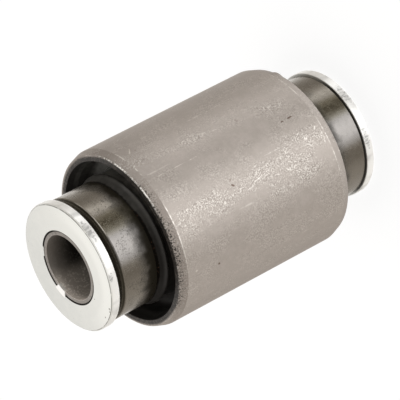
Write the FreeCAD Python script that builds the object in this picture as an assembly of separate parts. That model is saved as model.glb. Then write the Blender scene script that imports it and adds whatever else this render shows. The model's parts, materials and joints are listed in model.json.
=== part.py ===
"""Rubber metal bush for a suspension arm.

A rubber body is bonded between an outer steel sleeve, which is pressed into the
arm's eye, and a thick-walled inner sleeve. The inner sleeve sits on a thin bolt
tube that runs right through, and a flat ring is pressed on each end of the tube.
Millimetres. The bush stands on its lower ring: the bore axis is Z, and the
origin is the centre of the lower ring's seat face.
"""
import FreeCAD, Part
import os

# Bolt tube
bolt_hole_diameter = 14.2
tube_wall = 0.9
tube_recess = 0.1
tube_outer_chamfer = 0.2
tube_bore_chamfer = 0.1

# End rings
ring_diameter = 28.0
ring_thickness = 2.0
ring_outboard_chamfer = 0.3
ring_inboard_chamfer = 0.15
ring_bore_chamfer = 0.3

# Inner sleeve
inner_sleeve_length = 64.5
inner_sleeve_upper_chamfer = 0.55
inner_sleeve_lower_chamfer = 0.3
inner_sleeve_bore_chamfer = 0.5
upper_ring_gap = 1.5

# Outer sleeve
outer_sleeve_diameter = 39.0
outer_sleeve_wall = 2.0
outer_sleeve_length = 45.0
lead_taper_length = 1.9
lead_taper_drop = 0.65
rim_edge_chamfer = 0.2

# Rubber body
rubber_thickness = 4.0
lip_rise = 1.35
lip_slope_length = 2.15
lip_slope_hollow = 0.15
lip_thickness = 0.75
lip_edge_length = 0.35
lip_edge_chamfer = 0.1
neck_thickness = 0.3
neck_slope_drop = 0.4
lining_thickness = 0.6
lining_recess = 0.15
lining_slope_length = 2.5
groove_depth = 6.5

# Sizes that follow from the ones above
bore_radius = bolt_hole_diameter / 2
tube_radius = bore_radius + tube_wall
ring_radius = ring_diameter / 2
outer_sleeve_radius = outer_sleeve_diameter / 2
outer_sleeve_bore_radius = outer_sleeve_radius - outer_sleeve_wall
inner_sleeve_radius = outer_sleeve_bore_radius - rubber_thickness
inner_sleeve_bottom = ring_thickness
inner_sleeve_top = inner_sleeve_bottom + inner_sleeve_length
upper_ring_bottom = inner_sleeve_top + upper_ring_gap
overall_length = upper_ring_bottom + ring_thickness
middle_height = (inner_sleeve_bottom + inner_sleeve_top) / 2
lower_rim = middle_height - outer_sleeve_length / 2
upper_rim = middle_height + outer_sleeve_length / 2

AXIS = FreeCAD.Vector(0, 0, 1)
ORIGIN = FreeCAD.Vector(0, 0, 0)
SHARP = 0


def corner(radius, height, chamfer=SHARP):
    """One corner of a turned outline, with the length that its chamfer takes off each side."""
    return FreeCAD.Vector(radius, 0, height), chamfer


def towards(point, other, distance):
    """The place at a distance from one point on the way to another."""
    way = other - point
    return point + way * (distance / way.Length)


def turned(outline):
    """Solid turned about the bore axis from a closed outline of corners."""
    points = []
    for index, (point, chamfer) in enumerate(outline):
        if chamfer == SHARP:
            points.append(point)
            continue
        before = outline[index - 1][0]
        after = outline[(index + 1) % len(outline)][0]
        points.append(towards(point, before, chamfer))
        points.append(towards(point, after, chamfer))
    face = Part.Face(Part.makePolygon(points + points[:1]))
    return face.revolve(ORIGIN, AXIS, 360)


def make_bolt_tube():
    """Thin tube that the bolt passes through, a little short of the two ring faces."""
    bottom = tube_recess
    top = overall_length - tube_recess
    return turned([
        corner(bore_radius, bottom, tube_bore_chamfer),
        corner(tube_radius, bottom, tube_outer_chamfer),
        corner(tube_radius, top, tube_outer_chamfer),
        corner(bore_radius, top, tube_bore_chamfer),
    ])


def make_end_ring(seat, inboard):
    """Flat ring pressed on the tube, from its seat face to its face towards the sleeve."""
    return turned([
        corner(tube_radius, seat, ring_bore_chamfer),
        corner(ring_radius, seat, ring_outboard_chamfer),
        corner(ring_radius, inboard, ring_inboard_chamfer),
        corner(tube_radius, inboard),
    ])


def make_inner_sleeve():
    """Thick-walled ground sleeve on the tube, standing on the lower ring."""
    return turned([
        corner(tube_radius, inner_sleeve_bottom, inner_sleeve_bore_chamfer),
        corner(inner_sleeve_radius, inner_sleeve_bottom, inner_sleeve_lower_chamfer),
        corner(inner_sleeve_radius, inner_sleeve_top, inner_sleeve_upper_chamfer),
        corner(tube_radius, inner_sleeve_top, inner_sleeve_bore_chamfer),
    ])


def make_outer_sleeve():
    """Steel tube with a taper at both ends that leads it into the arm's eye."""
    rim_radius = outer_sleeve_radius - lead_taper_drop
    return turned([
        corner(outer_sleeve_bore_radius, lower_rim),
        corner(rim_radius, lower_rim, rim_edge_chamfer),
        corner(outer_sleeve_radius, lower_rim + lead_taper_length),
        corner(outer_sleeve_radius, upper_rim - lead_taper_length),
        corner(rim_radius, upper_rim, rim_edge_chamfer),
        corner(outer_sleeve_bore_radius, upper_rim),
    ])


def rubber_end(rim, outward):
    """Outline of the rubber at one rim, from the inner sleeve out to the outer sleeve.

    A flared lip stands round the inner sleeve: its hollow slope thickens away
    from its thin end, up to a crest with a neck under it. A deep groove follows,
    which narrows at its bottom. Its outer wall is the thin lining of the outer
    sleeve, which thins out towards the rim.
    """
    lip_radius = inner_sleeve_radius + lip_thickness
    neck_radius = inner_sleeve_radius + neck_thickness
    lining_radius = outer_sleeve_bore_radius - lining_thickness
    groove_width = lining_radius - neck_radius
    groove_bottom_chamfer = groove_width / 3
    slope_middle_radius = inner_sleeve_radius + lip_thickness / 2 - lip_slope_hollow
    slope_middle = lip_rise - lip_slope_length / 2
    lip_crest = lip_rise - lip_slope_length
    lip_back = lip_crest - lip_edge_length
    neck_top = lip_back - neck_slope_drop

    def at(radius, rise, chamfer=SHARP):
        return corner(radius, rim + outward * rise, chamfer)

    return [
        at(inner_sleeve_radius, lip_rise),
        at(slope_middle_radius, slope_middle),
        at(lip_radius, lip_crest, lip_edge_chamfer),
        at(lip_radius, lip_back, lip_edge_chamfer),
        at(neck_radius, neck_top),
        at(neck_radius, -groove_depth, groove_bottom_chamfer),
        at(lining_radius, -groove_depth, groove_bottom_chamfer),
        at(lining_radius, -lining_recess - lining_slope_length),
        at(outer_sleeve_bore_radius, -lining_recess),
    ]


def make_rubber_body():
    """Rubber bonded to both sleeves, with the same lip and groove at each end."""
    upper_end = rubber_end(upper_rim, 1)
    lower_end = rubber_end(lower_rim, -1)
    return turned(upper_end + lower_end[::-1])


def save(node, solid):
    """Writes one sub-part to its own file."""
    solid.exportStep(os.path.join("parts", node + ".step"))


os.makedirs("parts", exist_ok=True)
save("outer_sleeve", make_outer_sleeve())
save("rubber_body", make_rubber_body())
save("inner_sleeve", make_inner_sleeve())
save("bolt_tube", make_bolt_tube())
save("upper_end_ring", make_end_ring(overall_length, upper_ring_bottom))
save("lower_end_ring", make_end_ring(0, inner_sleeve_bottom))
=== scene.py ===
"""Dressed model of a rubber metal bush, standing on its lower ring in a light studio.

Lengths are written in millimetres and become metres where a mesh or a place is
made. Every outline is a list of corners in radius and height, turned about Z. It
runs outwards at its lower end and back at its upper end, so that faces point out.
An azimuth is in degrees round Z, from the camera's side and positive towards -X.
"""
import json
import math
from collections import namedtuple

import bpy
from mathutils import Matrix, Vector


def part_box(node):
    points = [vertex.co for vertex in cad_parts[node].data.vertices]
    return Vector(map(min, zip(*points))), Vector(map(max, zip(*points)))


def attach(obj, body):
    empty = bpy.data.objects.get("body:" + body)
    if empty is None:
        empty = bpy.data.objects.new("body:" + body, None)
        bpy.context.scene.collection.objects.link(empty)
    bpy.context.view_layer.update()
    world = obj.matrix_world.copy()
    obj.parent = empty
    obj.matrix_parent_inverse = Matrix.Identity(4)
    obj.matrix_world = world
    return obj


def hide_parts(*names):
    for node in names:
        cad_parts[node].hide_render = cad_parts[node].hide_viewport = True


MM = 0.001
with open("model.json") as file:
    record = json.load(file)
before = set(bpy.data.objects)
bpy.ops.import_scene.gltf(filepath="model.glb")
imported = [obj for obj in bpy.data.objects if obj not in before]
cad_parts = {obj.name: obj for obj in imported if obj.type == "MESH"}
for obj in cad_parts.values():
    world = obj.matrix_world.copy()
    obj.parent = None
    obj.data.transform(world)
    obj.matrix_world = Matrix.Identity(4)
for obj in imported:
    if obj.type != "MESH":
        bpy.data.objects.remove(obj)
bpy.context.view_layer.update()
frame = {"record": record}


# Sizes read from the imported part
def radius_of(node):
    """Outer radius of a turned node, in millimetres."""
    low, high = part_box(node)
    return max(high.x, high.y, -low.x, -low.y) / MM


def ends_of(node):
    """Lowest and highest height of a node, in millimetres."""
    low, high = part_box(node)
    return low.z / MM, high.z / MM


mounts = {mount["name"]: mount for mount in frame["record"]["mounts"]}
bore_radius = mounts["bolt_bore"]["dims"]["r_mm"]
tube_radius = radius_of("bolt_tube")
ring_radius = radius_of("upper_end_ring")
sleeve_radius = radius_of("inner_sleeve")
eye_radius = radius_of("outer_sleeve")
rubber_radius = radius_of("rubber_body")
lower_rim, upper_rim = ends_of("outer_sleeve")
sleeve_bottom, sleeve_top = ends_of("inner_sleeve")
lower_ring_top = ends_of("lower_end_ring")[1]
overall_length = ends_of("upper_end_ring")[1]
middle_height = (lower_rim + upper_rim) / 2
half_length = (upper_rim - lower_rim) / 2

# Bolt tube
tube_outer_round = 0.2
tube_bore_round = 0.1

# End rings
ring_face_chamfer = 0.3
ring_face_round = 0.12
ring_inboard_round = 0.15
ring_bore_chamfer_width = 0.2
ring_bore_chamfer_depth = 0.39
ring_bore_round = 0.05

# Inner sleeve
sleeve_upper_chamfer = 0.55
sleeve_lower_chamfer = 0.3
sleeve_edge_round = 0.1
sleeve_bore_round = 0.3

# Outer sleeve
lead_taper_length = 1.9
lead_taper_drop = 0.65
lead_taper_round = 0.6
rim_outer_round = 0.2
rim_inner_round = 0.1

# Rubber body
lip_rise = 1.35
lip_slope_length = 2.15
lip_slope_hollow = 0.15
lip_slope_round = 6
lip_thickness = 0.75
lip_edge_length = 0.35
lip_crest_round = 0.22
lip_back_round = 0.12
neck_thickness = 0.3
neck_slope_drop = 0.4
neck_round = 0.1
lining_thickness = 0.6
lining_recess = 0.15
lining_slope_length = 2.5
lining_round = 1.0
groove_depth = 6.5
groove_round = 1.3
lip_radius = sleeve_radius + lip_thickness

# Fineness of the turned meshes
turn_steps = 384
arc_steps = 6
sharp_angle = 32

# Marks of use on the outer sleeve: azimuth, height, width, length and lean
dark_nicks = [
    (-18.9, 18.8, 0.36, 1.4, 0), (-18.7, 21.0, 0.4, 0.6, 0), (1.7, 38.8, 0.5, 0.7, -30),
    (-1.8, 38.8, 0.22, 0.8, 60), (42.3, 47.0, 0.5, 0.6, 0),
]
bright_scratches = [
    (-5.2, 26.2, 0.08, 7.5, 0), (-35.8, 36.7, 0.12, 7.0, -14), (-23.8, 48.6, 0.18, 12.6, 0),
    (39.3, 52.7, 0.5, 0.6, 0), (-49.3, 52.4, 0.25, 2.8, 55), (4.6, 31.7, 0.09, 5.0, 13),
    (5.6, 33.4, 0.07, 3.0, 13), (-2.8, 18.2, 0.2, 1.2, 40), (0.2, 43.2, 0.35, 1.2, 60),
    (7.9, 35.2, 0.16, 2.0, 10), (-1.0, 14.9, 0.35, 2.0, 70), (2.6, 14.5, 0.3, 1.4, 80),
    (-6.0, 15.4, 0.25, 0.9, 50), (-3.5, 18.6, 0.3, 1.0, 80),
]
bright_rubs = [
    (4.0, 33.0, 4.5, 13.0, 10), (-36.3, 45.0, 2.2, 19.0, -3), (7.0, 47.0, 6.5, 16.0, 0),
    (0.0, 21.0, 6.5, 12.0, 0), (-32, 20.0, 3.0, 7.0, 0), (15, 28.0, 3.5, 8.0, 0),
    (14, 22.0, 4.0, 14.0, -10), (-8, 50.0, 3.0, 7.0, 0), (-3, 15.6, 7.0, 3.4, 0),
]

# Marks on the rings: smudges on their rims in the same order, and nicks in the upper face
# as azimuth, radius and size
rim_smudges = [
    (-20, overall_length - 0.8, 4.6, 1.5, 0), (24.4, overall_length - 0.45, 2.0, 1.0, -20),
    (-23, 0.9, 4.6, 1.6, 0), (19, 1.2, 4.6, 1.2, 0),
]
face_nicks = [(55.9, 13.3, 0.5), (58.8, 13.5, 0.35), (70.2, 12.9, 0.35), (64.5, 8.8, 0.25)]

# Half the depth of an oval mark, which keeps it on its own side of a piece
spot_depth = 2.0

# Sides of the pieces that look different from the rest, as azimuths
front_side = 20
# Sides where the tapers carry painted shade
dark_taper_side = 30
dark_taper_back = -85
handled_side = -48
rubbed_line_side = 10
bare_line_side = -42
wide_primer_side = 0
struck_rim_side = -36
# Side of the inner sleeve with a painted highlight tint
highlight_tint_side = 3
# Side of the inner sleeve with a painted olive shade tint
olive_shade_side = -18
# Side where the painted shade beside the rubber reaches furthest
long_shade_side = 42
# Side of the upper chamfer with a painted glint
glinting_corner_side = -32
# Side of the bore with painted light near its mouth
lit_bore_side = 132
# Side where the painted shade in the crevices is fainter
faint_crevice_side = -20
# Side of the rings' faces with a painted highlight
bright_face_side = 15
# Sides of the rims with painted highlights, and one with painted shade
bright_rim_side = 32
bright_lower_rim_side = 50
dark_rim_side = -75
# Side of the rubber with painted light
lit_rubber_side = -60
oiled_lip_side = 18
polished_lip_side = -30

# Stakes that lock the upper ring, as azimuth, half their angle and how far they reach inwards
Stake = namedtuple("Stake", "azimuth half_angle reach")
deep_stake = Stake(155, 10.0, 1.1)
stakes = [deep_stake, Stake(-139, 8.5, 0.3)]
stake_width = 0.3
stake_depth = 0.1
stake_end_angle = 1.5

# Burr on the lower rim
burr_azimuth = -54.5
burr_half_angle = 4.5
burr_size = 0.34
burr_width = 0.3


# Turned meshes
def rounded(corners):
    """Closed outline from (radius, height, round) corners, with each round as a short arc."""
    points = []
    for index, (radius, height, size) in enumerate(corners):
        here = Vector((radius, height))
        if size == 0:
            points.append(here)
            continue
        before = (Vector(corners[index - 1][:2]) - here).normalized()
        after = (Vector(corners[(index + 1) % len(corners)][:2]) - here).normalized()
        half_angle = before.angle(after) / 2
        middle = here + (before + after).normalized() * (size / math.sin(half_angle))
        start = here + before * (size / math.tan(half_angle)) - middle
        end = here + after * (size / math.tan(half_angle)) - middle
        for step in range(arc_steps + 1):
            points.append(middle + start.slerp(end, step / arc_steps) * size)
    return points


def divided(points, longest):
    """The outline with extra points, so that no straight stretch is longer than this."""
    result = []
    for index, point in enumerate(points):
        following = points[(index + 1) % len(points)]
        pieces = max(1, math.ceil((following - point).length / longest))
        result.extend(point.lerp(following, step / pieces) for step in range(pieces))
    return result


def turned_piece(node, material, corners, longest, deform=None):
    """Mesh turned from an outline, which stands for a node. A deform function moves its points a little."""
    outline = divided(rounded(corners), longest)
    vertices = []
    for step in range(turn_steps):
        angle = math.tau * step / turn_steps
        for point in outline:
            radius, height = deform(point.x, point.y, angle) if deform else point
            vertices.append((radius * math.cos(angle) * MM, radius * math.sin(angle) * MM, height * MM))
    count = len(outline)
    faces = []
    for step in range(turn_steps):
        here = step * count
        there = (step + 1) % turn_steps * count
        for index in range(count):
            after = (index + 1) % count
            faces.append((here + index, there + index, there + after, here + after))
    name = node + "_skin"
    mesh = bpy.data.meshes.new(name)
    mesh.from_pydata(vertices, [], faces)
    mesh.shade_smooth()
    mesh.set_sharp_from_angle(angle=math.radians(sharp_angle))
    mesh.materials.append(material)
    piece = bpy.data.objects.new(name, mesh)
    bpy.context.collection.objects.link(piece)
    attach(piece, "root")
    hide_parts(node)


# Materials
def point_at(azimuth, height, radius):
    """Coordinates of a place given by its azimuth, height and radius."""
    turn = math.radians(azimuth)
    return -radius * math.sin(turn), -radius * math.cos(turn), height


class Nodes:
    """A node tree, with short calls for the nodes that repeat."""

    def __init__(self, tree):
        self.tree = tree

    def add(self, kind, **settings):
        """New node with these settings."""
        node = self.tree.nodes.new(kind)
        for key, value in settings.items():
            setattr(node, key, value)
        return node

    def put(self, value, socket):
        """Gives a socket a link or a plain value."""
        if isinstance(value, bpy.types.NodeSocket):
            self.tree.links.new(value, socket)
        elif socket.type == "RGBA":
            socket.default_value = (*value, 1)
        else:
            socket.default_value = value

    def calc(self, operation, first, second=0.0):
        """Result of one operation on numbers or links."""
        node = self.add("ShaderNodeMath", operation=operation)
        self.put(first, node.inputs[0])
        self.put(second, node.inputs[1])
        return node.outputs[0]

    def chain(self, operation, values):
        """One operation from the first value through to the last."""
        result = values[0]
        for value in values[1:]:
            result = self.calc(operation, result, value)
        return result

    def plus(self, *values):
        """Sum of the values."""
        return self.chain("ADD", values)

    def minus(self, *values):
        """The first value less the others."""
        return self.chain("SUBTRACT", values)

    def times(self, *values):
        """Product of the values."""
        return self.chain("MULTIPLY", values)

    def largest(self, *values):
        """Largest of the values."""
        return self.chain("MAXIMUM", values)

    def distance(self, value, place):
        """How far a value is from a place, to either side."""
        return self.calc("ABSOLUTE", self.minus(value, place))

    def step(self, value, low, high, start=0.0, end=1.0):
        """Eases from one value to another while the input goes from low to high."""
        node = self.add("ShaderNodeMapRange", interpolation_type="SMOOTHSTEP")
        self.put(value, node.inputs["Value"])
        node.inputs["From Min"].default_value = low
        node.inputs["From Max"].default_value = high
        node.inputs["To Min"].default_value = start
        node.inputs["To Max"].default_value = end
        return node.outputs["Result"]

    def blend(self, amount, first, second):
        """Colour between two colours."""
        node = self.add("ShaderNodeMix", data_type="RGBA")
        self.put(amount, node.inputs["Factor"])
        self.put(first, node.inputs["A"])
        self.put(second, node.inputs["B"])
        return node.outputs["Result"]


class Shader(Nodes):
    """A material's nodes, with patterns and places on the bush. Coordinates are in millimetres."""

    def __init__(self, name):
        self.material = bpy.data.materials.new(name)
        self.material.use_nodes = True
        super().__init__(self.material.node_tree)
        self.surface = self.tree.nodes["Principled BSDF"]
        source = self.add("ShaderNodeTexCoord")
        scale = self.add("ShaderNodeVectorMath", operation="SCALE")
        self.put(source.outputs["Object"], scale.inputs[0])
        self.put(1 / MM, scale.inputs["Scale"])
        self.place = scale.outputs["Vector"]
        parts = self.add("ShaderNodeSeparateXYZ")
        self.put(self.place, parts.inputs[0])
        self.across = parts.outputs["X"]
        self.along = parts.outputs["Y"]
        self.height = parts.outputs["Z"]
        squares = self.plus(self.calc("POWER", self.across, 2), self.calc("POWER", self.along, 2))
        self.radius = self.calc("SQRT", squares)

    def stretched(self, x, y, z):
        """Coordinates with each axis multiplied, which stretches a pattern along the smallest."""
        node = self.add("ShaderNodeVectorMath", operation="MULTIPLY")
        self.put(self.place, node.inputs[0])
        self.put((x, y, z), node.inputs[1])
        return node.outputs["Vector"]

    def grain(self, size, detail=2.0, roughness=0.5, place=None):
        """Noise between 0 and 1 whose features are about this many millimetres wide."""
        node = self.add("ShaderNodeTexNoise")
        self.put(place or self.place, node.inputs["Vector"])
        self.put(1 / size, node.inputs["Scale"])
        self.put(detail, node.inputs["Detail"])
        self.put(roughness, node.inputs["Roughness"])
        return node.outputs["Fac"]

    def cells(self, size):
        """Distance to the nearest of scattered points about this many millimetres apart."""
        node = self.add("ShaderNodeTexVoronoi")
        self.put(self.place, node.inputs["Vector"])
        self.put(1 / size, node.inputs["Scale"])
        return node.outputs["Distance"]

    def past_rim(self):
        """Distance beyond the nearer rim of the outer sleeve, negative between the rims."""
        return self.minus(self.distance(self.height, middle_height), half_length)

    def depth(self):
        """Distance from the nearer end of the bush."""
        return self.minus(overall_length / 2, self.distance(self.height, overall_length / 2))

    def toward(self, azimuth):
        """Cosine of the angle round the axis between a point and an azimuth."""
        turn = math.radians(azimuth)
        across = self.times(self.across, -math.sin(turn))
        along = self.times(self.along, -math.cos(turn))
        return self.calc("DIVIDE", self.plus(across, along), self.radius)

    def between(self, azimuth, half_angle):
        """1 on the faces within this angle of an azimuth, 0 a little further round."""
        outside = math.cos(math.radians(half_angle + 1))
        inside = math.cos(math.radians(half_angle - 1))
        return self.step(self.toward(azimuth), outside, inside)

    def off_stakes(self, amount):
        """The amount, but 0 at the stakes."""
        gaps = [self.minus(1.0, self.between(stake.azimuth, stake.half_angle)) for stake in stakes]
        return self.times(amount, *gaps)

    def spot(self, radius, azimuth, height, width, length, lean):
        """Distance from the middle of an oval mark on a turned face, 1 at its edge."""
        node = self.add("ShaderNodeMapping", vector_type="TEXTURE")
        self.put(self.place, node.inputs["Vector"])
        self.put(point_at(azimuth, height, radius), node.inputs["Location"])
        self.put((0, math.radians(lean), math.radians(180 - azimuth)), node.inputs["Rotation"])
        self.put((width / 2, spot_depth, length / 2), node.inputs["Scale"])
        reach = self.add("ShaderNodeVectorMath", operation="LENGTH")
        self.put(node.outputs["Vector"], reach.inputs[0])
        return reach.outputs["Value"]

    def spots(self, marks, radius):
        """1 inside any of several uneven oval marks on one turned face, 0 outside them."""
        uneven = self.step(self.grain(0.5), 0.25, 0.75, -0.4, 0.4)
        nearest = self.chain("MINIMUM", [self.spot(radius, *mark) for mark in marks])
        return self.step(self.plus(nearest, uneven), 0.75, 1.15, 1.0, 0.0)

    def dot(self, azimuth, height, radius, size):
        """0.8 inside a small round mark at a place, 0 outside."""
        node = self.add("ShaderNodeVectorMath", operation="DISTANCE")
        self.put(self.place, node.inputs[0])
        self.put(point_at(azimuth, height, radius), node.inputs[1])
        return self.step(node.outputs["Value"], size * 0.35, size * 0.65, 0.8, 0.0)

    def bump(self, height, distance):
        """Relief this many millimetres high where the height goes from 0 to 1."""
        node = self.add("ShaderNodeBump")
        self.put(distance * MM, node.inputs["Distance"])
        self.put(1.0, node.inputs["Strength"])
        self.put(height, node.inputs["Height"])
        self.put(node.outputs["Normal"], self.surface.inputs["Normal"])

    def finish(self, colour, roughness, metallic):
        """The material, with these on its surface."""
        self.put(colour, self.surface.inputs["Base Color"])
        self.put(roughness, self.surface.inputs["Roughness"])
        self.put(metallic, self.surface.inputs["Metallic"])
        return self.material


# Outer sleeve's steel
bare_steel = (0.74, 0.71, 0.66)


def bright_patches(shader):
    """Where the coat sparkles: a little in patches all over, and more where it was rubbed."""
    patch = shader.grain(3.2, detail=4, place=shader.stretched(1, 1, 0.5))
    patch = shader.step(patch, 0.40, 0.62, 0.1, 1.0)
    rubs = shader.times(shader.spots(bright_rubs, eye_radius), shader.plus(patch, 0.3))
    return shader.largest(shader.times(patch, 0.5), shader.calc("MINIMUM", rubs, 1.0))


def scratches(shader, mottle):
    """Fine lines along the sleeve and single scratches, both broken up by the mottle."""
    fine = shader.grain(0.8, place=shader.stretched(1, 1, 0.04))
    fine = shader.times(shader.step(fine, 0.70, 0.76, 0.0, 0.5), shader.step(mottle, 0.40, 0.55))
    single = shader.times(shader.spots(bright_scratches, eye_radius),
                          shader.step(mottle, 0.42, 0.58, 0.15, 1.0))
    return shader.largest(fine, single)


def plain_coat(shader, mottle, past_rim):
    """Colour of the coat, with painted shade on parts of the tapers, and darker near the upper rim on one
    side.
    """
    coat = shader.blend(shader.grain(14, detail=3), (0.403, 0.363, 0.33), (0.449, 0.407, 0.374))
    coat = shader.blend(shader.step(mottle, 0.35, 0.75), coat, (0.479, 0.433, 0.40))
    # Painted shade on parts of the tapers: towards one side and the back, most at the upper end
    taper = shader.step(past_rim, -lead_taper_length, -lead_taper_length + 0.15)
    dark = shader.times(shader.step(shader.height, lower_rim, upper_rim, 0.3, 1.0),
                        shader.step(shader.toward(dark_taper_side), 0.6, 0.85, 0.2, 1.0))
    dark = shader.largest(dark, shader.step(shader.toward(dark_taper_back), 0.7, 0.95, 0.0, 0.75))
    shaded_taper_colour = shader.blend(mottle, (0.2855, 0.2525, 0.228), (0.367, 0.327, 0.296))
    coat = shader.blend(shader.times(taper, dark), coat, shaded_taper_colour)
    darker_side = shader.times(shader.step(shader.height, upper_rim - 12, upper_rim - 2),
                           shader.step(shader.toward(handled_side), 0.85, 0.99, 0.0, 0.22))
    return shader.blend(darker_side, coat, (0.17, 0.15, 0.135))


def worn_edges(shader, past_rim):
    """Bare metal at the rims, and in places along the lines where the tapers start."""
    rim = shader.times(shader.step(shader.toward(front_side), 0.3, 0.8),
                       shader.step(past_rim, -0.3, -0.05, 0.0, 0.3))
    line = shader.step(shader.distance(past_rim, -lead_taper_length), 0.05, 0.18, 1.0, 0.0)
    rubbed = shader.times(shader.step(shader.toward(rubbed_line_side), 0.88, 0.97),
                          shader.step(shader.grain(4), 0.35, 0.55))
    bare = shader.step(shader.toward(bare_line_side), 0.96, 0.985, 0.0, 0.9)
    edge = shader.largest(rim, shader.times(line, shader.largest(rubbed, bare)))
    return shader.times(edge, shader.step(shader.grain(0.8), 0.40, 0.56, 0.0, 0.75))


def dark_marks(shader):
    """Single nicks, and faint small ones scattered all over."""
    uneven = shader.step(shader.grain(0.7), 0.25, 0.75, -0.05, 0.05)
    scattered = shader.step(shader.plus(shader.cells(7), uneven), 0.02, 0.05, 0.35, 0.0)
    return shader.largest(scattered, shader.spots(dark_nicks, eye_radius))


def primer_reach(shader):
    """Where primer covers the bore and the rim's inner part, with a crumbly edge at the upper end."""
    crumb = shader.times(
        shader.step(shader.grain(0.34, roughness=0.7), 0.3, 0.7, -0.55, 0.25),
        shader.step(shader.height, middle_height, upper_rim),
        shader.step(shader.toward(front_side), 0.6, 0.85, 0.2, 1.0))
    wavy = shader.step(shader.grain(9, detail=1), 0.4, 0.6, 0.0, 0.12)
    narrow = shader.step(shader.toward(wide_primer_side), 0.2, 0.6, 0.3, 0.0)
    place = shader.minus(shader.plus(shader.radius, crumb, narrow), wavy)
    return shader.step(place, rubber_radius + 0.9, rubber_radius + 1.45, 1.0, 0.0)


def struck_rim(shader):
    """Bright bruise on the outer edge of the upper rim."""
    return shader.times(
        shader.step(shader.toward(struck_rim_side), 0.829, 0.951),
        shader.step(shader.grain(0.6, detail=3, roughness=0.7), 0.42, 0.56),
        shader.step(shader.radius, rubber_radius + 1.2, rubber_radius + 1.3),
        shader.step(shader.height, upper_rim - 0.32, upper_rim - 0.2))


def phosphated_steel():
    """Warm grey coat on drawn tube: patches of sparkle, scratches, worn edges and dark nicks."""
    shader = Shader("phosphated_steel")
    mottle = shader.grain(1.6, detail=4, roughness=0.65)
    crystals = shader.grain(0.29, detail=1)
    past_rim = shader.past_rim()
    patch = bright_patches(shader)
    sparkle = shader.times(patch, shader.step(crystals, 0.52, 0.62))
    pore = shader.times(patch, shader.step(crystals, 0.46, 0.36))
    scratch = scratches(shader, mottle)
    worn = worn_edges(shader, past_rim)
    primed = primer_reach(shader)
    flakes = shader.step(shader.grain(0.5, detail=3, roughness=0.7), 0.45, 0.68)
    primer = shader.blend(flakes, (0.022, 0.019, 0.017), (0.095, 0.083, 0.072))

    colour = plain_coat(shader, mottle, past_rim)
    colour = shader.blend(shader.times(sparkle, 0.6), colour, bare_steel)
    colour = shader.blend(shader.times(pore, 0.45), colour, (0.18, 0.16, 0.14))
    colour = shader.blend(shader.times(scratch, 0.8), colour, bare_steel)
    colour = shader.blend(worn, colour, bare_steel)
    colour = shader.blend(shader.times(dark_marks(shader), 0.8), colour, (0.12, 0.075, 0.055))
    colour = shader.blend(primed, colour, primer)
    colour = shader.blend(struck_rim(shader), colour, (0.95, 0.93, 0.89))

    shine = shader.largest(shader.times(sparkle, 0.4), scratch, worn)
    roughness = shader.minus(shader.step(mottle, 0.2, 0.8, 0.42, 0.54), shader.times(shine, 0.15))
    metallic = shader.times(shader.step(shine, 0, 1, 0.5, 1.0), shader.step(primed, 0, 1, 1.0, 0.3))
    shader.bump(shader.plus(shader.times(mottle, 0.6), shader.times(crystals, patch)), 0.035)
    shader.put((0.45, 0.43, 0.41), shader.surface.inputs["Specular Tint"])
    return shader.finish(colour, roughness, metallic)


# Inner sleeve's steel
def sleeve_pits(shader):
    """Small pits in clusters, fainter towards the lower end."""
    clusters = shader.step(shader.grain(2.6), 0.35, 0.65, -0.06, 0.05)
    pits = shader.plus(shader.grain(0.32, detail=3, roughness=0.7), clusters)
    return shader.times(shader.step(pits, 0.575, 0.66),
                        shader.step(shader.height, lower_rim, upper_rim, 0.15, 0.5))


def shade_beside_rubber(shader, highlight_side):
    """Painted shade beside the rubber, with a blotchy edge that fades outwards, reaching furthest on one side
    and less far where the highlight tint is.
    """
    blotch = shader.step(shader.grain(3, detail=3), 0.3, 0.7, -0.8, 0.8)
    reach = shader.plus(shader.past_rim(), blotch, shader.times(highlight_side, 0.3))
    reach = shader.minus(reach, shader.step(shader.toward(long_shade_side), 0.85, 0.97, 0.0, 0.8))
    return shader.step(reach, 1.7, 5.7, 0.97, 0.0)


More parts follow.
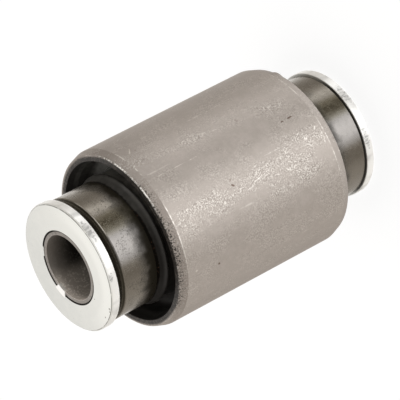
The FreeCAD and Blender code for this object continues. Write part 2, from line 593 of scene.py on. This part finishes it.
def ground_steel():
    """Oiled ground steel with small pits and faint grinding lines. Painted shade beside the rubber, on the
    upper chamfer and top face under the upper ring and on the lower chamfer; painted cooler and olive tints,
    and a painted glint on the upper chamfer.
    """
    shader = Shader("ground_steel")
    cloud = shader.grain(6, detail=3)
    grit = shader.grain(0.9, detail=4, roughness=0.7)
    lines = shader.grain(0.35, place=shader.stretched(0.1, 0.1, 1))
    pits = sleeve_pits(shader)
    highlight_side = shader.step(shader.toward(highlight_tint_side), 0.93, 0.99)
    olive_shade = shader.step(shader.toward(olive_shade_side), 0.975, 0.998, 0.0, 0.22)
    rubber_shade = shade_beside_rubber(shader, highlight_side)
    above_corner = shader.minus(shader.height, sleeve_top - sleeve_upper_chamfer)
    glint = shader.times(shader.step(shader.distance(above_corner, 0.1), 0.02, 0.11, 0.9, 0.0),
                         shader.step(shader.toward(glinting_corner_side), 0.90, 0.98))
    top_face = shader.step(shader.height, sleeve_top - 0.1, sleeve_top - 0.02)
    foot = shader.times(shader.step(shader.height, sleeve_bottom + 0.09, sleeve_bottom + 0.21, 1.0, 0.0),
                        shader.step(shader.toward(front_side), 0.15, 0.6))

    colour = shader.blend(cloud, (0.204, 0.184, 0.155), (0.261, 0.238, 0.206))
    # Painted highlight: a cooler colour on the side where the sleeve's highlight falls
    cooler = shader.blend(cloud, (0.207, 0.195, 0.183), (0.264, 0.249, 0.238))
    colour = shader.blend(highlight_side, colour, cooler)
    # Painted shade: an olive tint in the dark band of reflection on one side
    colour = shader.blend(olive_shade, colour, (0.16, 0.14, 0.03))
    colour = shader.blend(pits, colour, (0.07, 0.064, 0.055))
    # Painted shade beside the rubber, dark and dull
    colour = shader.blend(rubber_shade, colour, (0.015, 0.0125, 0.0075))
    # Painted shade on the upper chamfer and the top face, in the gap under the upper ring
    colour = shader.blend(shader.step(above_corner, 0.08, 0.24, 0.0, 0.93), colour, (0.032, 0.028, 0.019))
    colour = shader.blend(top_face, colour, (0.125, 0.108, 0.080))
    # Painted highlight along the upper chamfer on one side
    colour = shader.blend(glint, colour, (0.85, 0.82, 0.76))
    # Painted shade on the lower chamfer beside the lower ring, on the front side
    colour = shader.blend(foot, colour, (0.008, 0.007, 0.005))

    dark = shader.largest(rubber_shade, foot)
    dull = shader.largest(shader.times(dark, 0.88), shader.times(top_face, 0.8))
    roughness = shader.plus(shader.step(grit, 0.3, 0.7, 0.16, 0.30), shader.times(rubber_shade, 0.1))
    relief = shader.minus(shader.times(lines, 0.25), shader.times(pits, 0.7))
    shader.bump(shader.plus(relief, shader.times(grit, 0.6)), 0.025)
    shader.put(shader.step(dark, 0.4, 1, 0.5, 0.06), shader.surface.inputs["Specular IOR Level"])
    return shader.finish(colour, roughness, shader.minus(1.0, dull))


# Tube's steel
def tube_steel():
    """Dull thin tube, with painted light near the mouth of its bore on one side, painted shade deeper in the
    bore on the rest, and painted shade in the crevices at its ends.
    """
    shader = Shader("tube_steel")
    cloud = shader.grain(3, detail=3)
    mottle = shader.grain(0.8, detail=3)
    depth = shader.depth()
    lit_side_share = shader.step(shader.toward(lit_bore_side), 0.42, 0.98)
    wall = shader.step(shader.radius, bore_radius + 0.02, bore_radius + 0.1, 1.0, 0.0)
    painted_bore_light = shader.times(wall, lit_side_share, shader.step(depth, 0.4, 2.4, 1.0, 0.52))
    painted_bore_shade = shader.times(wall, shader.step(lit_side_share, 0, 0.9, 1.0, 0.2), shader.step(depth, 0.5, 6.5))
    # Painted shade in the crevice round the tube's end, fainter on one side and none at the stakes
    crevice = shader.off_stakes(shader.times(
        shader.step(shader.radius, tube_radius - 0.2, tube_radius - 0.08),
        shader.step(shader.toward(faint_crevice_side), 0.4, 0.85, 1.0, 0.25)))
    struck = shader.times(shader.between(deep_stake.azimuth, deep_stake.half_angle - 1),
                          shader.step(depth, 0.4, 0.9, 0.9, 0.0))
    grit = shader.times(shader.step(shader.grain(0.45), 0.54, 0.62),
                        shader.step(painted_bore_light, 0.1, 0.9, 0.05, 0.8))

    colour = shader.blend(cloud, (0.23, 0.21, 0.192), (0.30, 0.276, 0.252))
    colour = shader.blend(shader.step(mottle, 0.55, 0.8, 0.0, 0.7), colour, (0.13, 0.117, 0.10))
    wall_colour = shader.blend(cloud, (0.31, 0.283, 0.258), (0.40, 0.368, 0.336))
    colour = shader.blend(wall, colour, wall_colour)
    # Painted light near the mouth of the bore on one side, with bright specks in it
    colour = shader.blend(painted_bore_light, colour, (0.74, 0.675, 0.61))
    # Painted shade deeper in the bore
    colour = shader.blend(painted_bore_shade, colour, (0.036, 0.031, 0.026))
    colour = shader.blend(crevice, colour, (0.02, 0.017, 0.014))
    colour = shader.blend(struck, colour, (0.85, 0.83, 0.80))
    colour = shader.blend(grit, colour, (1.0, 0.95, 0.88))
    shader.bump(mottle, 0.02)
    roughness = shader.step(mottle, 0.2, 0.8, 0.40, 0.55)
    return shader.finish(colour, roughness, shader.step(painted_bore_light, 0, 1, 0.6, 0.15))


# Rings' plating
def ring_face_colour(shader, worn):
    """Colour of the satin face, with painted shade that darkens it away from the camera's side and a painted
    highlight on its outer part on one side.
    """
    # Painted shade: darker away from the camera's side
    colour = shader.blend(shader.step(shader.along, -ring_radius, ring_radius),
                          (0.84, 0.845, 0.81), (0.70, 0.71, 0.69))
    colour = shader.blend(shader.times(shader.grain(5, detail=3), 0.25), colour, (0.62, 0.63, 0.60))
    colour = shader.blend(shader.times(worn, 0.3), colour, (0.86, 0.86, 0.825))
    # Painted highlight on the outer part of the face on one side
    painted_highlight = shader.times(shader.step(shader.radius, ring_radius - 4, ring_radius - 2),
                         shader.step(shader.toward(bright_face_side), 0.0, 0.9, 0.0, 0.6))
    return shader.blend(painted_highlight, colour, (0.94, 0.945, 0.91))


def ring_rim_colour(shader, rim, colour):
    """The colour with the shiny rim on it: painted highlights on one side of each ring and painted shade on
    another, smoky in places, with smudges and specks.
    """
    colour = shader.blend(rim, colour, (0.93, 0.93, 0.91))
    on_lower_ring = shader.step(shader.height, lower_ring_top + 1, lower_ring_top + 2, 1.0, 0.0)
    # Painted highlight on the rim on one side of each ring
    painted_highlight = shader.largest(
        shader.step(shader.toward(bright_rim_side), 0.93, 0.99, 0.0, 0.9),
        shader.times(on_lower_ring, shader.step(shader.toward(bright_lower_rim_side), 0.7, 0.9)))
    colour = shader.blend(shader.times(rim, painted_highlight), colour, (1.0, 1.0, 0.98))
    # Painted shade on the rim on one side
    darker_side = shader.step(shader.toward(dark_rim_side), 0.85, 0.98, 0.0, 0.35)
    colour = shader.blend(shader.times(rim, darker_side), colour, (0.62, 0.60, 0.55))
    specks = shader.step(shader.grain(0.3, detail=1), 0.74, 0.80, 0.0, 0.5)
    colour = shader.blend(specks, colour, (0.35, 0.34, 0.31))
    smoke = shader.grain(3.2, detail=1.5, place=shader.stretched(1, 1, 0.6))
    smoke = shader.step(smoke, 0.50, 0.72, 0.0, 0.55)
    colour = shader.blend(shader.times(rim, smoke), colour, (0.42, 0.42, 0.40))
    hatch = shader.step(shader.grain(0.4, place=shader.stretched(1, 1, 0.2)), 0.35, 0.6, 0.25, 0.9)
    smudges = shader.times(rim, hatch, shader.spots(rim_smudges, ring_radius))
    return shader.blend(smudges, colour, (0.46, 0.46, 0.45))


def ring_shade_and_lines(shader):
    """Painted shade in the crevice round the tube and on the inboard edge, most on the front side, and a dark
    line inside the face's chamfer.
    """
    # Painted shade in the crevice round the tube
    crevice = shader.off_stakes(shader.times(
        shader.step(shader.radius, tube_radius + 0.18, tube_radius + 0.27, 1.0, 0.0),
        shader.step(shader.toward(faint_crevice_side), 0.4, 0.85, 1.0, 0.1)))
    depth = shader.depth()
    line = shader.times(
        shader.step(depth, 0.3, 0.4, 1.0, 0.0),
        shader.step(shader.grain(2.5, detail=3), 0.38, 0.52, 0.2, 0.7),
        shader.step(shader.distance(shader.radius, ring_radius - 0.26), 0.02, 0.10, 1.0, 0.0))
    # Painted shade on the inboard edge beside the sleeve, most on the front side
    inboard = shader.times(
        shader.step(depth, 1.85, 1.95, 0.0, 0.85),
        shader.step(shader.radius, ring_radius - 0.3, ring_radius - 0.1, 1.0, 0.0),
        shader.step(shader.toward(front_side), 0.2, 0.6, 0.2, 1.0))
    return shader.largest(crevice, line, inboard)


def bright_ring():
    """Bright plated ring: satin face, shiny rim with smoky patches, painted highlights and painted shade, a
    few dark nicks, painted shade round the tube and on the inboard edge, and a dark line inside the face's
    chamfer.
    """
    shader = Shader("bright_ring")
    worn = shader.step(shader.grain(2.5, detail=4, roughness=0.7), 0.35, 0.75)
    rim = shader.step(shader.radius, ring_radius - 0.12, ring_radius - 0.04)
    shade_and_lines = ring_shade_and_lines(shader)
    struck = shader.times(shader.between(deep_stake.azimuth, deep_stake.half_angle),
                          shader.step(shader.radius, tube_radius + 0.55, tube_radius + 0.9, 1.0, 0.0))

    colour = ring_rim_colour(shader, rim, ring_face_colour(shader, worn))
    for azimuth, radius, size in face_nicks:
        nick = shader.dot(azimuth, overall_length, radius, size)
        colour = shader.blend(nick, colour, (0.2, 0.19, 0.17))
    colour = shader.blend(shade_and_lines, colour, (0.03, 0.026, 0.022))
    colour = shader.blend(struck, colour, (1.0, 0.99, 0.97))
    shader.bump(worn, 0.02)
    shader.put(shader.step(shade_and_lines, 0, 0.8, 0.5, 0.1), shader.surface.inputs["Specular IOR Level"])
    return shader.finish(colour, shader.step(rim, 0, 1, 0.42, 0.30), shader.step(rim, 0, 1, 0.55, 0.3))


# Rubber
def black_rubber():
    """Moulded rubber: glossier on the crest of the lips, with painted light on one side that is lighter deep
    in the grooves, dark at the lips' thin ends.
    """
    shader = Shader("black_rubber")
    cloud = shader.grain(2.5, detail=4)
    # Painted light on one side of the rubber, lighter deep in the grooves than near the rims
    painted_rubber_light = shader.times(shader.step(shader.toward(lit_rubber_side), 0.2, 0.95, 0.15, 1.0),
                        shader.step(shader.grain(1.5, detail=3), 0.3, 0.7, 0.5, 1.0))
    deep = shader.step(shader.past_rim(), -1.8, -1.3, 1.0, 0.0)
    oiled = shader.step(shader.toward(oiled_lip_side), 0.76, 0.93)
    uneven = shader.step(shader.grain(0.5, detail=3), 0.3, 0.7, -0.02, 0.02)
    thin_end = shader.minus(shader.plus(shader.radius, uneven), shader.times(oiled, 0.08))
    thin_end = shader.step(thin_end, sleeve_radius + 0.03, sleeve_radius + 0.10, 1.0, 0.0)
    rust = shader.times(thin_end, shader.step(shader.grain(0.5), 0.62, 0.7, 0.0, 0.7))
    crest = shader.times(shader.step(shader.radius, sleeve_radius + 0.3, lip_radius - 0.08),
                         shader.step(shader.radius, lip_radius + 0.1, lip_radius + 0.3, 1.0, 0.0))

    colour = shader.blend(cloud, (0.012, 0.0108, 0.0102), (0.021, 0.019, 0.0175))
    painted_rubber_light_colour = shader.blend(deep, (0.062, 0.060, 0.054), (0.165, 0.160, 0.146))
    colour = shader.blend(painted_rubber_light, colour, painted_rubber_light_colour)
    colour = shader.blend(shader.times(thin_end, 0.9), colour, (0.004, 0.0032, 0.0025))
    colour = shader.blend(rust, colour, (0.07, 0.035, 0.02))

    highlight_side = shader.step(shader.toward(polished_lip_side), 0.95, 0.99, 0.5, 0.95)
    dull = shader.times(oiled, shader.step(shader.radius, sleeve_radius + 0.1, lip_radius, 0.14, 0.09))
    gloss = shader.plus(shader.times(crest, highlight_side), 0.16)
    gloss = shader.minus(gloss, shader.times(thin_end, 0.12), dull)
    roughness = shader.minus(shader.step(cloud, 0.3, 0.7, 0.38, 0.5), shader.times(crest, 0.12))
    shader.bump(shader.grain(0.35), 0.01)
    shader.put(gloss, shader.surface.inputs["Specular IOR Level"])
    return shader.finish(colour, roughness, 0.0)


# Pieces
def apart(angle, azimuth):
    """Degrees from an azimuth to an angle round Z, between -180 and 180."""
    return (-90 - math.degrees(angle) - azimuth + 180) % 360 - 180


def burred(radius, height, angle):
    """A point of the outer sleeve, raised at a burr on the edge of the lower rim."""
    taper_start = lower_rim + lead_taper_length
    if radius < eye_radius - lead_taper_drop - burr_width or height > taper_start:
        return radius, height
    share = max(0, 1 - (apart(angle, burr_azimuth) / burr_half_angle) ** 2)
    return radius + burr_size * share * (taper_start - height) / lead_taper_length, height


def staked(radius, height, angle):
    """A point of the upper ring, with its bore edge pressed over the tube's end at the stakes."""
    if radius > tube_radius + stake_width or height < overall_length - stake_depth:
        return radius, height
    for stake in stakes:
        inside = stake.half_angle - abs(apart(angle, stake.azimuth))
        radius -= stake.reach * max(0, min(1, inside / stake_end_angle))
    return max(radius, bore_radius), height


def outer_sleeve(material):
    """Tube with a lead taper at both ends."""
    rim_radius = eye_radius - lead_taper_drop
    corners = [
        (rubber_radius, lower_rim, rim_inner_round),
        (rim_radius, lower_rim, rim_outer_round),
        (eye_radius, lower_rim + lead_taper_length, lead_taper_round),
        (eye_radius, upper_rim - lead_taper_length, lead_taper_round),
        (rim_radius, upper_rim, rim_outer_round),
        (rubber_radius, upper_rim, rim_inner_round),
    ]
    turned_piece("outer_sleeve", material, corners, longest=0.8, deform=burred)


def inner_sleeve(material):
    """Thick-walled sleeve with a larger chamfer at its upper end."""
    corners = [
        (tube_radius, sleeve_bottom, sleeve_bore_round),
        (sleeve_radius - sleeve_lower_chamfer, sleeve_bottom, sleeve_edge_round),
        (sleeve_radius, sleeve_bottom + sleeve_lower_chamfer, sleeve_edge_round),
        (sleeve_radius, sleeve_top - sleeve_upper_chamfer, sleeve_edge_round),
        (sleeve_radius - sleeve_upper_chamfer, sleeve_top, sleeve_edge_round),
        (tube_radius, sleeve_top, sleeve_bore_round),
    ]
    turned_piece("inner_sleeve", material, corners, longest=2)


def bolt_tube(material):
    """Thin tube with rounded ends."""
    bottom, top = ends_of("bolt_tube")
    corners = [
        (bore_radius, bottom, tube_bore_round),
        (tube_radius, bottom, tube_outer_round),
        (tube_radius, top, tube_outer_round),
        (bore_radius, top, tube_bore_round),
    ]
    turned_piece("bolt_tube", material, corners, longest=2)


def end_ring(node, material, face_up, deform=None):
    """Flat ring with a small chamfer round its bore and a larger one round its face."""
    bottom, top = ends_of(node)
    face, inboard = (top, bottom) if face_up else (bottom, top)
    inward = -1 if face_up else 1
    corners = [
        (tube_radius, inboard, 0),
        (tube_radius, face + inward * ring_bore_chamfer_depth, 0),
        (tube_radius + ring_bore_chamfer_width, face, ring_bore_round),
        (ring_radius - ring_face_chamfer, face, ring_face_round),
        (ring_radius, face + inward * ring_face_chamfer, ring_face_round),
        (ring_radius, inboard, ring_inboard_round),
    ]
    if face_up:
        corners.reverse()
    turned_piece(node, material, corners, longest=1, deform=deform)


def rubber_end(rim, outward):
    """Corners of the rubber at one rim, from the inner sleeve out to the outer sleeve."""
    neck_radius = sleeve_radius + neck_thickness
    lining_radius = rubber_radius - lining_thickness
    crest = lip_rise - lip_slope_length
    back = crest - lip_edge_length
    corners = [
        (sleeve_radius, lip_rise, 0),
        (sleeve_radius + lip_thickness / 2 - lip_slope_hollow, (lip_rise + crest) / 2, lip_slope_round),
        (lip_radius, crest, lip_crest_round),
        (lip_radius, back, lip_back_round),
        (neck_radius, back - neck_slope_drop, neck_round),
        (neck_radius, -groove_depth, groove_round),
        (lining_radius, -groove_depth, groove_round),
        (lining_radius, -lining_recess - lining_slope_length, lining_round),
        (rubber_radius, -lining_recess, 0),
    ]
    return [(radius, rim + outward * rise, size) for radius, rise, size in corners]


def rubber_body(material):
    """Rubber between both sleeves, with the same lip and groove at each end."""
    corners = rubber_end(lower_rim, -1) + rubber_end(upper_rim, 1)[::-1]
    turned_piece("rubber_body", material, corners, longest=1)


outer_sleeve(phosphated_steel())
inner_sleeve(ground_steel())
bolt_tube(tube_steel())
ring_material = bright_ring()
end_ring("upper_end_ring", ring_material, face_up=True, deform=staked)
end_ring("lower_end_ring", ring_material, face_up=False)
rubber_body(black_rubber())

# Camera
image_size = 400
sensor_width = 36.0
lens = 315.86
camera_elevation = math.radians(30.42)
camera_roll = math.radians(-117.54)
upper_face_pixel = (68.0, 268.0)
upper_face_depth = 700.3
nearest_seen = 10
farthest_seen = 50000


def make_camera():
    """Camera that sees the centre of the upper ring's face at its pixel, at its depth."""
    data = bpy.data.cameras.new("camera")
    data.sensor_width = sensor_width
    data.lens = lens
    data.clip_start = nearest_seen * MM
    data.clip_end = farthest_seen * MM
    camera = bpy.data.objects.new("camera", data)
    bpy.context.collection.objects.link(camera)
    turn = Matrix.Rotation(math.radians(90) - camera_elevation, 4, "X") @ Matrix.Rotation(camera_roll, 4, "Z")
    per_pixel = sensor_width / image_size / lens
    across = (upper_face_pixel[0] - image_size / 2) * per_pixel
    up = (image_size / 2 - upper_face_pixel[1]) * per_pixel
    face_seen = Vector((across, up, -1)) * upper_face_depth
    place = Vector((0, 0, overall_length)) - turn @ face_seen
    camera.matrix_world = Matrix.Translation(place * MM) @ turn
    bpy.context.scene.camera = camera


# Studio: light levels round the bush as (azimuth, level), low down and high up
low_bands = [
    (-180, 1.4), (-150, 1.2), (-120, 0.6), (-100, 0.48), (-84, 0.75), (-74, 1.9), (-66, 1.65),
    (-54, 0.57), (-40, 0.18), (-28, 0.37), (-14, 1.9), (0, 2.4), (20, 2.35), (32, 1.45), (44, 0.55),
    (58, 0.47), (90, 0.75), (120, 0.83), (150, 0.66), (180, 1.4),
]
high_bands = [
    (-180, 1.15), (-140, 0.8), (-90, 0.29), (-50, 0.44), (-20, 0.56), (10, 0.46), (50, 0.5), (90, 0.68),
    (120, 0.6), (150, 1.0), (180, 1.15),
]
overhead_light = (1.4, 1.4, 1.4)
background = (1.0, 1.0, 1.0)
dim_tint = (1.0, 0.90, 0.78)
white_level = 1.5
table_glow = 0.86
table_colour = (0.2, 0.2, 0.2)
table_half_size = 8000


def light_band(nodes, bands, share):
    """Light from the share of a full turn. Dim levels have a warm tint, which fades as they rise."""
    node = nodes.add("ShaderNodeValToRGB")
    node.color_ramp.interpolation = "EASE"
    stops = node.color_ramp.elements
    stops.remove(stops[1])
    for index, (azimuth, level) in enumerate(bands):
        stop = stops[0] if index == 0 else stops.new((azimuth + 180) / 360)
        whiteness = min(1, level / white_level)
        stop.color = [level * (dim + (1 - dim) * whiteness) for dim in dim_tint] + [1]
    nodes.put(share, node.inputs["Fac"])
    return node.outputs["Color"]


def make_world():
    """Light tent: softboxes low down with dark gaps beside them, and plain white for the camera."""
    world = bpy.data.worlds.new("studio")
    bpy.context.scene.world = world
    world.use_nodes = True
    nodes = Nodes(world.node_tree)
    place = nodes.add("ShaderNodeTexCoord")
    parts = nodes.add("ShaderNodeSeparateXYZ")
    nodes.put(place.outputs["Generated"], parts.inputs[0])
    across = nodes.times(parts.outputs["X"], -1.0)
    along = nodes.times(parts.outputs["Y"], -1.0)
    up = parts.outputs["Z"]
    turn = nodes.calc("ARCTAN2", across, along)
    share = nodes.plus(nodes.times(turn, 1 / math.tau), 0.5)
    low = light_band(nodes, low_bands, share)
    high = light_band(nodes, high_bands, share)
    tent = nodes.blend(nodes.step(up, -0.1, 0.4), low, high)
    steepness = nodes.calc("ABSOLUTE", up)
    tent = nodes.blend(nodes.step(steepness, 0.75, 0.98), tent, overhead_light)
    ray = nodes.add("ShaderNodeLightPath")
    seen = nodes.blend(ray.outputs["Is Camera Ray"], tent, background)
    nodes.put(seen, nodes.tree.nodes["Background"].inputs["Color"])


def make_table():
    """White table that keeps a faint shadow. Light passes it, as on a light table."""
    material = bpy.data.materials.new("table")
    material.use_nodes = True
    nodes = Nodes(material.node_tree)
    nodes.tree.nodes.clear()
    glow = nodes.add("ShaderNodeEmission")
    nodes.put(table_glow, glow.inputs["Strength"])
    matt = nodes.add("ShaderNodeBsdfDiffuse")
    nodes.put(table_colour, matt.inputs["Color"])
    both = nodes.add("ShaderNodeAddShader")
    nodes.put(glow.outputs[0], both.inputs[0])
    nodes.put(matt.outputs[0], both.inputs[1])
    output = nodes.add("ShaderNodeOutputMaterial")
    nodes.put(both.outputs[0], output.inputs["Surface"])
    size = table_half_size * MM
    corners = [(-size, -size, 0), (size, -size, 0), (size, size, 0), (-size, size, 0)]
    mesh = bpy.data.meshes.new("table")
    mesh.from_pydata(corners, [], [(0, 1, 2, 3)])
    mesh.materials.append(material)
    table = bpy.data.objects.new("table", mesh)
    bpy.context.collection.objects.link(table)
    table.visible_diffuse = False
    table.visible_glossy = False
    table.visible_shadow = False


make_camera()
make_world()
make_table()
bpy.context.scene.view_settings.view_transform = "Standard"
